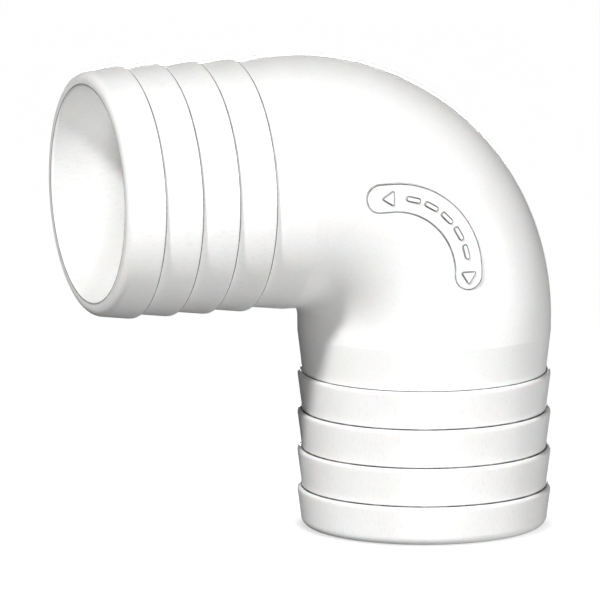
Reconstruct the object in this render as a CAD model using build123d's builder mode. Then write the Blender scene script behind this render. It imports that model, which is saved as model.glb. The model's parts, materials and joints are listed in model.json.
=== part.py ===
from build123d import *
from math import radians, tan
import os

# A 90 degree elbow for 2 in (50 mm) marine hose, moulded in glass-filled nylon, with a
# barbed hose tail at each end and a raised marking pad on one side of the bend.
#
# The frame: the origin is the centre of the lower tail's end face, +Z runs up the lower
# tail, the side tail points to -X, and the marking pad faces -Y. Both tails' centrelines
# cross at the corner, which is straight above the origin.
#
# The elbow is one moulding. Its zones are separate solids that meet face to face: the
# bend, the two hose tails, the marking pad and the raised flow arrow on the pad.

# ---- Driving dimensions, in millimetres and degrees ----

# Hose tails
root_diameter = 50.6          # at each barb's foot, a little under a 2 in hose's 50.8 bore
bore_diameter = 44.6          # the water way, the same through the bend
arm_length = 74.1             # corner to each tail's end face
nose_length = 8.2             # end face to the first barb's step
barb_pitch = 8.1
barb_count = 4
barb_height = 0.95            # crest above root, on the radius
barb_land = 0.85              # straight length on a crest, before its edge is rounded
barb_edge_radius = 0.5
nose_radius = 2.0             # rounding that leads the hose on
lip_radius = 0.5              # rounding inside the mouth

# Bend
bend_radius = 30.0            # of the centreline
body_diameter = 52.7          # outside of the bend
shoulder_length = 3.0         # from the bend to the cone that narrows to the first barb
shoulder_draft = 0.5          # degrees, so that the mould lets go of the shoulder

# Marking pad
pad_bend_radius = 16.45       # of the pad's centreline, tangent to both tails' centrelines
pad_width = 6.1
pad_face = 26.45              # the flat face's distance from the plane of the centrelines
pad_depth = 3.0               # how deep the pad reaches before the body trims it
pad_side_straight = 3.0       # straight length at the side tail's end of the pad
pad_lower_straight = 0.8      # straight length at the lower tail's end of the pad
pad_edge_radius = 0.15

# Flow arrow, a dashed line round the pad with a head at each end
arrow_height = 0.3            # above the pad's face
arrow_head_length = 2.7
arrow_head_width = 3.4
dash_count = 5
dash_width = 1.0
dash_length = 3.2
arrow_corner_radius = 0.25

# ---- Sizes that follow from them ----

root_radius = root_diameter / 2
crest_radius = root_radius + barb_height
bore_radius = bore_diameter / 2
body_radius = body_diameter / 2
tail_length = nose_length + (barb_count - 1) * barb_pitch
straight_length = arm_length - bend_radius
shoulder_end = straight_length - shoulder_length
shoulder_end_radius = body_radius - shoulder_length * tan(radians(shoulder_draft))

# Each tail's half section is drawn in a plane whose X is the radius and whose Y runs
# inwards along the tail, from the centre of its end face.
tail_planes = {
    "lower_hose_tail": Plane.XZ,
    "side_hose_tail": Plane(origin=(-arm_length, 0, arm_length), x_dir=(0, 0, 1), z_dir=(0, 1, 0)),
}
bend_start = Plane.XY.offset(straight_length)
bend_axis = Axis((-bend_radius, 0, straight_length), (0, -1, 0))
pad_plane = Plane(
    origin=(-pad_bend_radius, -pad_face, arm_length - pad_bend_radius),
    x_dir=(1, 0, 0),
    z_dir=(0, -1, 0),
)

os.makedirs("parts", exist_ok=True)

# ---- The bend, with a plain waist at each end ----

waist_outline = [
    (bore_radius, tail_length),
    (root_radius, tail_length),
    (shoulder_end_radius, shoulder_end),
    (body_radius, straight_length),
    (bore_radius, straight_length),
]

with BuildPart() as elbow_bend:
    with BuildSketch(bend_start):
        Circle(body_radius)
        Circle(bore_radius, mode=Mode.SUBTRACT)
    revolve(axis=bend_axis, revolution_arc=90)
    for tail_plane in tail_planes.values():
        with BuildSketch(tail_plane):
            with BuildLine():
                Polyline(*waist_outline, close=True)
            make_face()
        revolve(axis=Axis(tail_plane.origin, tail_plane.y_dir))
elbow_bend.part.label = "elbow_bend"
export_step(elbow_bend.part, "parts/elbow_bend.step")

# ---- The two hose tails, each a row of barbs that step down towards the bend ----

barb_rise = barb_height / (barb_pitch - barb_land)
nose_end_radius = crest_radius - barb_rise * (nose_length - barb_land)
tail_outline = [(bore_radius, 0), (nose_end_radius, 0)]
for barb in range(barb_count):
    step = nose_length + barb * barb_pitch
    tail_outline += [(crest_radius, step - barb_land), (crest_radius, step), (root_radius, step)]
tail_outline.append((bore_radius, tail_length))

for name, tail_plane in tail_planes.items():
    with BuildPart() as hose_tail:
        with BuildSketch(tail_plane):
            with BuildLine():
                Polyline(*tail_outline, close=True)
            make_face()
            fillet(vertices().group_by(Axis.Y)[0].sort_by(Axis.X)[-1], nose_radius)
            fillet(vertices().group_by(Axis.Y)[0].sort_by(Axis.X)[0], lip_radius)
            step_corners = vertices().group_by(Axis.X)[-1].sort_by(Axis.Y)[1::2]
            fillet(step_corners, barb_edge_radius)
        revolve(axis=Axis(tail_plane.origin, tail_plane.y_dir))
    hose_tail.part.label = name
    export_step(hose_tail.part, f"parts/{name}.step")

# ---- The marking pad, a flat-faced rib that grows out of the bend ----

with BuildPart() as marking_pad:
    with BuildSketch(pad_plane):
        with BuildLine():
            pad_arc = CenterArc((0, 0), pad_bend_radius, 0, 90)
            Line(pad_arc @ 0, (pad_bend_radius, -pad_lower_straight))
            Line(pad_arc @ 1, (-pad_side_straight, pad_bend_radius))
            offset(amount=pad_width / 2)
        make_face()
    extrude(amount=-pad_depth)
    fillet(faces().sort_by(Axis.Y)[0].edges(), pad_edge_radius)
    with BuildSketch(bend_start):
        Circle(body_radius)
    revolve(axis=bend_axis, revolution_arc=90, mode=Mode.SUBTRACT)
marking_pad.part.label = "marking_pad"
export_step(marking_pad.part, "parts/marking_pad.step")

# ---- The flow arrow: water may run either way, so there is a head at each end ----

head_base = (pad_bend_radius - arrow_head_width / 2, pad_bend_radius + arrow_head_width / 2)
lower_head = [(head_base[0], 0), (head_base[1], 0), (pad_bend_radius, -arrow_head_length)]
side_head = [(y, x) for x, y in lower_head]
dash_turn = 90 / (dash_count + 1)

with BuildPart() as flow_arrow:
    with BuildSketch(pad_plane):
        for head in (lower_head, side_head):
            with BuildLine():
                Polyline(*head, close=True)
            make_face()
        fillet(vertices(), arrow_corner_radius)
        with PolarLocations(pad_bend_radius, dash_count, dash_turn, 90 - 2 * dash_turn, endpoint=True):
            SlotOverall(dash_length, dash_width, rotation=90)
    extrude(amount=arrow_height)
flow_arrow.part.label = "flow_arrow"
export_step(flow_arrow.part, "parts/flow_arrow.step")
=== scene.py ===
import json
from math import cos, radians, sin

import bpy
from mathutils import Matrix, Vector


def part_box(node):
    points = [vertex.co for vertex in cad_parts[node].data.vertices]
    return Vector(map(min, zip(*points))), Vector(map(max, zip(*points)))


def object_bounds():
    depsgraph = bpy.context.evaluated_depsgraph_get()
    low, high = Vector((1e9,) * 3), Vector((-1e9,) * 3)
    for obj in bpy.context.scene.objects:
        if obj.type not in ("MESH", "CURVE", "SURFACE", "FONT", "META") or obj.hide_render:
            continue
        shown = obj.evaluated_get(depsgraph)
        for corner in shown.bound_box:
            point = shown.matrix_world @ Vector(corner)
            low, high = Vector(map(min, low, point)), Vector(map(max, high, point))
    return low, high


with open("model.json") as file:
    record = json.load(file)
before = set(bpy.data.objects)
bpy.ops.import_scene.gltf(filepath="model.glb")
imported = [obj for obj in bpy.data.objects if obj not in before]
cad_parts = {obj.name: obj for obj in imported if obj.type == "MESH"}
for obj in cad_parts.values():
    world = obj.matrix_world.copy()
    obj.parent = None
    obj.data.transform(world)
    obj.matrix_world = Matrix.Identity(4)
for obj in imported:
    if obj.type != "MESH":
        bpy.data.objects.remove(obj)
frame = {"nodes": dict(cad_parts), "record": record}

# A white nylon 90 degree hose elbow on a white studio floor. Every size is in metres, in the
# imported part's own frame: the lower tail's end face is on the floor at the origin, the side
# tail points to -X and the marking pad faces -Y.

CAD_BOX = [list(corner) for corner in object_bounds()]

MM = 0.001
ARM = -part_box("side_hose_tail")[0].x                 # corner of the centrelines to each end face
CORNER = Vector((0.0, 0.0, ARM))
SIDE_BORE = next(mount for mount in frame["record"]["mounts"] if mount["name"] == "side_bore")
BORE_RADIUS = SIDE_BORE["dims"]["r_mm"] * MM


# ---- Camera ----

CAMERA_AZIMUTH, CAMERA_ELEVATION = -20.1, 10.5       # degrees; azimuth 0 looks along +Y
CAMERA_DISTANCE = 5.5                                # a long lens, nearly without perspective
VIEW_WIDTH = 124.38 * MM                             # what the picture takes in, side to side
AIM_RIGHT, AIM_UP = -25.75 * MM, -26.51 * MM         # picture's middle, seen from the corner
SENSOR_WIDTH = 36.0
FARTHEST_SEEN = 50.0


def direction(azimuth, elevation):
    """The unit vector that points from the object to an azimuth and elevation, in degrees."""
    a, e = radians(azimuth), radians(elevation)
    return Vector((sin(a) * cos(e), -cos(a) * cos(e), sin(e)))


def add_camera():
    back = direction(CAMERA_AZIMUTH, CAMERA_ELEVATION)
    right = direction(CAMERA_AZIMUTH + 90.0, 0.0)
    aim = CORNER + right * AIM_RIGHT + back.cross(right) * AIM_UP
    camera = bpy.data.cameras.new("camera")
    camera.sensor_width = SENSOR_WIDTH
    camera.lens = SENSOR_WIDTH * CAMERA_DISTANCE / VIEW_WIDTH
    camera.clip_end = FARTHEST_SEEN
    holder = bpy.data.objects.new("camera", camera)
    bpy.context.scene.collection.objects.link(holder)
    holder.location = aim + back * CAMERA_DISTANCE
    holder.rotation_euler = back.to_track_quat("Z", "Y").to_euler()
    bpy.context.scene.camera = holder


# ---- Shader nodes ----

OCCLUSION_SAMPLES = 16
BEVEL_SAMPLES = 8


class Shader:
    """A material's node tree, with short ways to add and wire its nodes."""

    def __init__(self, name):
        self.material = bpy.data.materials.new(name)
        self.material.use_nodes = True
        self.tree = self.material.node_tree
        self.surface = self.tree.nodes["Principled BSDF"]
        coordinates = self.add("ShaderNodeTexCoord")
        self.place = coordinates.outputs["Object"]
        self.facing = self.add("ShaderNodeSeparateXYZ", Vector=coordinates.outputs["Normal"]).outputs

    def add(self, kind, settings=None, **inputs):
        node = self.tree.nodes.new(kind)
        for name, value in (settings or {}).items():
            setattr(node, name, value)
        for name, value in inputs.items():
            self.feed(node.inputs[name.replace("_", " ")], value)
        return node

    def feed(self, socket, value):
        if isinstance(value, bpy.types.NodeSocket):
            self.tree.links.new(value, socket)
        else:
            socket.default_value = value

    def either(self, first, second):
        """The larger of two masks."""
        node = self.tree.nodes.new("ShaderNodeMath")
        node.operation = "MAXIMUM"
        self.feed(node.inputs[0], first)
        self.feed(node.inputs[1], second)
        return node.outputs[0]

    def both(self, first, second):
        """Two masks multiplied."""
        node = self.tree.nodes.new("ShaderNodeMath")
        node.operation = "MULTIPLY"
        self.feed(node.inputs[0], first)
        self.feed(node.inputs[1], second)
        return node.outputs[0]

    def ramp(self, value, low, high, to_low=0.0, to_high=1.0):
        """value from low to high becomes to_low to to_high, clamped and eased at both ends."""
        node = self.add("ShaderNodeMapRange", {"interpolation_type": "SMOOTHSTEP"}, Value=value)
        for name, number in (("From Min", low), ("From Max", high),
                             ("To Min", to_low), ("To Max", to_high)):
            node.inputs[name].default_value = number
        return node.outputs[0]

    def stretched(self, scale):
        """The place, scaled along each axis."""
        node = self.add("ShaderNodeMapping", Vector=self.place)
        node.inputs["Scale"].default_value = scale
        return node.outputs[0]

    def noise(self, size, detail=2.0, place=None):
        """Noise about 0.5, with features of a size in metres."""
        place = place or self.place
        node = self.add("ShaderNodeTexNoise", Vector=place, Scale=1.0 / size, Detail=detail)
        return node.outputs["Fac"]

    def mix(self, factor, first, second):
        """From the first colour to the second. Sockets 6 and 7 are the node's two colours."""
        node = self.add("ShaderNodeMix", {"data_type": "RGBA"})
        self.feed(node.inputs["Factor"], factor)
        for socket, colour in ((node.inputs[6], first), (node.inputs[7], second)):
            self.feed(socket, colour)
        return node.outputs[2]

    def bump(self, height, depth, under=None):
        """Raises the surface by height times depth metres, on top of an earlier bump."""
        node = self.add("ShaderNodeBump", Height=height, Distance=depth)
        if under is not None:
            self.feed(node.inputs["Normal"], under)
        return node.outputs[0]


# ---- The nylon ----

WHITE = (0.90, 0.90, 0.893, 1.0)
WARM_WHITE = (0.875, 0.872, 0.855, 1.0)
FIBRE = (0.83, 0.826, 0.81, 1.0)
# Near black, painted into corners and along edges as shade.
PAINTED_SHADE_COLOUR = (0.02, 0.02, 0.022, 1.0)

NYLON_IOR = 1.53
GLOW_THROUGH = 0.15                                  # how much light passes into the surface
GLOW_DEPTH = 0.6 * MM
CLOUD_SIZE = 14.0 * MM                               # slow changes between the two whites
FIBRE_SIZE = 0.4 * MM
FIBRE_STRENGTH = 0.75
SHADE_PATCH_SIZE = 2.5 * MM                                 # patches where the painted shade is weaker
WEAKEST_SHADE = 0.72
SHEEN_SIZE = 2.2 * MM
SHEEN_CHANGE = 0.05                                  # of the roughness, either way
WAVE_SIZE, WAVE_DEPTH = 7.0 * MM, 0.05 * MM
RING_SIZE, RING_DEPTH = 0.25 * MM, 0.006 * MM
RING_STRETCH = 0.02                                  # of the noise, round the tail
FIBRE_STRETCH = 0.3                                  # of the noise, along the tail

# A corner mask of painted shade goes from full to gone between two shares of open surroundings.
BEND_CORNER = (0.58, 0.90)
LOWER_BARB_CORNER = (0.62, 0.90)
SIDE_BARB_CORNER = (0.60, 0.86)
PAD_CORNER = (0.62, 0.92)
SIDE_CORNER_STRENGTH = 0.5

# The other masks of painted shade start and stop between two values of one component of the
# surface's normal.
BARB_EDGE_START, BARB_EDGE_STOP = (0.12, 0.26), (0.55, 0.75)
RIM_START, RIM_STOP = (-0.9995, -0.990), (-0.55, -0.25)
MOUTH_FRONT = (-0.94, -0.86)
MOUTH_LINE = (0.45 * MM, 0.7 * MM)                   # where it fades out, beyond the bore
MOUTH_STRENGTH = 0.7


def crevice(shader, reach, corner, most=1.0):
    """A mask of painted shade in the corners, over reach in metres. It is at its most where the
    open share of the surroundings is at the low end of corner, and gone at the high end."""
    opening = shader.add("ShaderNodeAmbientOcclusion", {"samples": OCCLUSION_SAMPLES},
                         Distance=reach)
    return shader.ramp(opening.outputs["AO"], *corner, most, 0.0)


def barb_edge(shader):
    """A mask of painted shade, a dark line on each side barb's rounded edge, where it turns from the
    crest to the step.
    """
    turn = shader.facing[0]
    start = shader.ramp(turn, *BARB_EDGE_START)
    stop = shader.ramp(turn, *BARB_EDGE_STOP, 1.0, 0.0)
    return shader.both(start, stop)


def mouth_edge(shader):
    """A mask of painted shade, a dark line at the corner between the side mouth's flat ring and the
    rounding of its lip.
    """
    across = shader.add("ShaderNodeMapping", Vector=shader.place, Location=(0.0, 0.0, -ARM))
    across.inputs["Scale"].default_value = (0.0, 1.0, 1.0)
    radius = shader.add("ShaderNodeVectorMath", {"operation": "LENGTH"}, Vector=across.outputs[0])
    line = [BORE_RADIUS + offset for offset in MOUTH_LINE]
    inside = shader.ramp(radius.outputs["Value"], *line, MOUTH_STRENGTH, 0.0)
    front = shader.ramp(shader.facing[0], *MOUTH_FRONT, 1.0, 0.0)
    return shader.both(inside, front)


def rim(shader, reach):
    """A mask of painted shade, a dark line along the edge round a face that looks to -Y, over
    reach on each side of it. The wall below the edge stays unshaded."""
    rounded = shader.add("ShaderNodeBevel", {"samples": BEVEL_SAMPLES}, Radius=reach)
    turn = shader.add("ShaderNodeSeparateXYZ", Vector=rounded.outputs["Normal"]).outputs[1]
    start = shader.ramp(turn, *RIM_START)
    stop = shader.ramp(turn, *RIM_STOP, 1.0, 0.0)
    return shader.both(start, stop)


def nylon(shader, roughness, grain, grain_depth, painted_shade, along=(1.0, 1.0, 1.0)):
    """Satin moulded nylon with a fine grain, faint fibres drawn out where along is under 1,
    and painted shade, near black, where its mask says. Returns the bump."""
    clouds = shader.ramp(shader.noise(CLOUD_SIZE, 3.0), 0.35, 0.75)
    colour = shader.mix(clouds, WHITE, WARM_WHITE)
    fibres = shader.noise(FIBRE_SIZE, 2.0, shader.stretched(along))
    colour = shader.mix(shader.ramp(fibres, 0.50, 0.72, 0.0, FIBRE_STRENGTH), colour, FIBRE)
    # Painted shade: the masked corners and edges are darkened towards near black, a little less in
    # some patches.
    shade_strength = shader.ramp(shader.noise(SHADE_PATCH_SIZE, 3.0), 0.25, 0.6, WEAKEST_SHADE, 1.0)
    shader.feed(shader.surface.inputs["Base Color"],
                shader.mix(shader.both(painted_shade, shade_strength), colour, PAINTED_SHADE_COLOUR))
    shader.feed(shader.surface.inputs["Roughness"],
                shader.ramp(shader.noise(SHEEN_SIZE, 4.0), 0.2, 0.8,
                            roughness - SHEEN_CHANGE, roughness + SHEEN_CHANGE))
    shader.surface.inputs["IOR"].default_value = NYLON_IOR
    shader.surface.inputs["Subsurface Weight"].default_value = GLOW_THROUGH
    shader.surface.inputs["Subsurface Scale"].default_value = GLOW_DEPTH
    return shader.bump(shader.noise(grain, 2.0), grain_depth)


def finish_nylon(shader, relief):
    shader.feed(shader.surface.inputs["Normal"], relief)
    return shader.material


def bend_nylon():
    """With the faint waves of a thick moulding as it cools."""
    shader = Shader("bend_nylon")
    relief = nylon(shader, 0.42, 0.4 * MM, 0.008 * MM, crevice(shader, 0.26 * MM, BEND_CORNER))
    relief = shader.bump(shader.noise(WAVE_SIZE, 1.0), WAVE_DEPTH, relief)
    return finish_nylon(shader, relief)


def tail_nylon(shader, axis, painted_shade):
    """Smoother, with the fine rings that a turned mould leaves round the tail."""
    along = [FIBRE_STRETCH if i == axis else 1.0 for i in range(3)]
    relief = nylon(shader, 0.38, 0.35 * MM, 0.004 * MM, painted_shade, along)
    rings = shader.stretched([1.0 if i == axis else RING_STRETCH for i in range(3)])
    relief = shader.bump(shader.noise(RING_SIZE, 1.0, rings), RING_DEPTH, relief)
    return finish_nylon(shader, relief)


def lower_tail_nylon():
    """Painted shade darkens the corner above each barb."""
    shader = Shader("lower_tail_nylon")
    return tail_nylon(shader, 2, crevice(shader, 0.5 * MM, LOWER_BARB_CORNER))


def side_tail_nylon():
    """Painted shade darkens each barb's edge, the corner behind it and a line round the mouth."""
    shader = Shader("side_tail_nylon")
    corners = crevice(shader, 0.5 * MM, SIDE_BARB_CORNER, SIDE_CORNER_STRENGTH)
    painted_shade = shader.either(corners, barb_edge(shader))
    painted_shade = shader.either(painted_shade, mouth_edge(shader))
    return tail_nylon(shader, 0, painted_shade)


def pad_nylon():
    """Painted shade darkens round the pad's edge and along the foot of the raised marks."""
    shader = Shader("pad_nylon")
    painted_shade = shader.either(crevice(shader, 0.3 * MM, PAD_CORNER), rim(shader, 0.42 * MM))
    relief = nylon(shader, 0.46, 0.3 * MM, 0.006 * MM, painted_shade)
    return finish_nylon(shader, relief)


def arrow_nylon():
    """Painted shade darkens round the edge of each raised mark."""
    shader = Shader("arrow_nylon")
    relief = nylon(shader, 0.36, 0.3 * MM, 0.003 * MM, rim(shader, 0.32 * MM))
    return finish_nylon(shader, relief)


def finish_nodes():
    materials = {
        "elbow_bend": bend_nylon(),
        "lower_hose_tail": lower_tail_nylon(),
        "side_hose_tail": side_tail_nylon(),
        "marking_pad": pad_nylon(),
        "flow_arrow": arrow_nylon(),
    }
    for name, material in materials.items():
        for slot in frame["nodes"][name].material_slots:
            slot.material = material


# ---- Studio ----

FLOOR_RADIUS = 4.0
FLOOR_SIDES = 96
FLOOR_GLOW = 0.94          # the light box under the floor's white sheet
FLOOR_CONTACT_SHADOW = 0.55       # the glow where the elbow stands on it and hides it, lowered as a painted contact shadow
CONTACT_REACH = 4.0 * MM
MOST_HIDDEN = 0.3          # share of open surroundings where the glow is at its lowest
FLOOR_WHITE = (0.93, 0.93, 0.93, 1.0)
FLOOR_ROUGHNESS = 0.9
PURE_WHITE = (1.0, 1.0, 1.0, 1.0)
BACKDROP = 0.99            # the room's white wall, as the camera sees it
ROOM_ABOVE, ROOM_BELOW = 0.06, 0.03
ROOM_BLEND = 0.4           # how far above and below the horizon the room changes

SUNS = {
    # name: azimuth, elevation, strength and width, with angles in degrees
    "key": (-49.0, 46.5, 3.15, 7.0),
    "low_front": (-20.0, -14.0, 1.62, 14.0),
    "right": (54.0, 6.0, 1.5, 20.0),
    "back": (160.0, -4.0, 3.3, 12.0),
}


def add_floor():
    """A white sheet that only the camera sees, so that it throws no light back up."""
    middle = (Vector(CAD_BOX[0]) + Vector(CAD_BOX[1])) / 2
    edge = [direction(360.0 * i / FLOOR_SIDES, 0.0) * FLOOR_RADIUS for i in range(FLOOR_SIDES)]
    corners = [(middle.x + point.x, middle.y + point.y, 0.0) for point in edge]
    mesh = bpy.data.meshes.new("floor")
    mesh.from_pydata(corners, [], [range(FLOOR_SIDES)])
    floor = bpy.data.objects.new("floor", mesh)
    bpy.context.scene.collection.objects.link(floor)
    shader = Shader("floor_sheet")
    shader.surface.inputs["Base Color"].default_value = FLOOR_WHITE
    shader.surface.inputs["Roughness"].default_value = FLOOR_ROUGHNESS
    shader.surface.inputs["Specular IOR Level"].default_value = 0.0
    shader.surface.inputs["Emission Color"].default_value = PURE_WHITE
    opening = shader.add("ShaderNodeAmbientOcclusion", {"samples": OCCLUSION_SAMPLES},
                         Distance=CONTACT_REACH)
    # Painted contact shadow: the floor's glow drops where the elbow hides its surroundings.
    shader.feed(shader.surface.inputs["Emission Strength"],
                shader.ramp(opening.outputs["AO"], MOST_HIDDEN, 1.0, FLOOR_CONTACT_SHADOW, FLOOR_GLOW))
    mesh.materials.append(shader.material)
    floor.visible_diffuse = False
    floor.visible_glossy = False
    floor.visible_shadow = False


def add_suns():
    """Wide soft lights that fall on the elbow and not on the floor."""
    lit = bpy.data.collections.new("lit_by_suns")
    for node in frame["nodes"].values():
        lit.objects.link(node)
    for name, (azimuth, elevation, strength, width) in SUNS.items():
        light = bpy.data.lights.new(name, "SUN")
        light.energy = strength
        light.angle = radians(width)
        holder = bpy.data.objects.new(name, light)
        bpy.context.scene.collection.objects.link(holder)
        holder.rotation_euler = direction(azimuth, elevation).to_track_quat("Z", "Y").to_euler()
        holder.light_linking.receiver_collection = lit


def add_room():
    """A soft grey room, brighter above. The camera sees its wall as white as the floor."""
    world = bpy.data.worlds.new("studio")
    bpy.context.scene.world = world
    world.use_nodes = True
    tree = world.node_tree
    tree.nodes.clear()
    place = tree.nodes.new("ShaderNodeTexCoord")
    parts = tree.nodes.new("ShaderNodeSeparateXYZ")
    tree.links.new(place.outputs["Generated"], parts.inputs[0])
    height = tree.nodes.new("ShaderNodeMapRange")
    height.inputs["From Min"].default_value = -ROOM_BLEND
    height.inputs["From Max"].default_value = ROOM_BLEND
    height.inputs["To Min"].default_value = ROOM_BELOW
    height.inputs["To Max"].default_value = ROOM_ABOVE
    tree.links.new(parts.outputs["Z"], height.inputs["Value"])
    room = tree.nodes.new("ShaderNodeBackground")
    tree.links.new(height.outputs[0], room.inputs["Strength"])
    wall = tree.nodes.new("ShaderNodeBackground")
    wall.inputs["Color"].default_value = PURE_WHITE
    wall.inputs["Strength"].default_value = BACKDROP
    room.inputs["Color"].default_value = PURE_WHITE
    path = tree.nodes.new("ShaderNodeLightPath")
    seen = tree.nodes.new("ShaderNodeMixShader")
    tree.links.new(path.outputs["Is Camera Ray"], seen.inputs["Fac"])
    tree.links.new(room.outputs[0], seen.inputs[1])
    tree.links.new(wall.outputs[0], seen.inputs[2])
    output = tree.nodes.new("ShaderNodeOutputWorld")
    tree.links.new(seen.outputs[0], output.inputs["Surface"])


bpy.context.scene.view_settings.view_transform = "Standard"
add_camera()
finish_nodes()
add_floor()
add_suns()
add_room()
